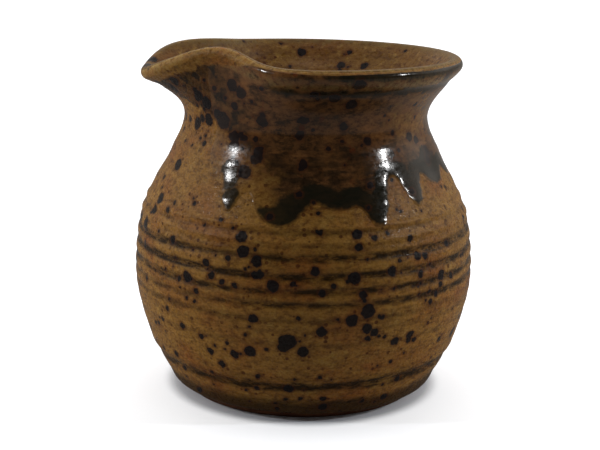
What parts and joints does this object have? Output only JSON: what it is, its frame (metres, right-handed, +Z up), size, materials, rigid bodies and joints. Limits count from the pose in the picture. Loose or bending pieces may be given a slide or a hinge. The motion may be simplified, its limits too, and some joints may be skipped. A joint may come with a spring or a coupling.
{
  "type": "stoneware sake pourer",
  "caption": "Hand-thrown stoneware pourer with a round belly, flared open neck and pulled spout, speckled tan glaze and a dark glaze poured over neck and shoulder.",
  "frame": {"origin": "centre of the foot's resting plane, on the axis that the pot was thrown about", "axes": "+Z up, the spout points along -X, +Y to the far side of the pot as it is seen with the spout on the left"},
  "size_m": [0.096, 0.096, 0.0993],
  "materials": {
    "stoneware": "bare fired clay, toasted red-brown, matt",
    "tan_glaze": "semi-matt tan glaze with rust flecks and blue-black iron spots",
    "liner_glaze": "satin tan glaze with dark iron spots",
    "dark_glaze": "glossy brown-black glaze, greenish where thick and rust-brown where thin"
  },
  "bodies": {
    "root": {"clay_body": "stoneware", "base_glaze": "tan_glaze", "liner_glaze": "liner_glaze", "dark_glaze": "dark_glaze"}
  },
  "joints": []
}
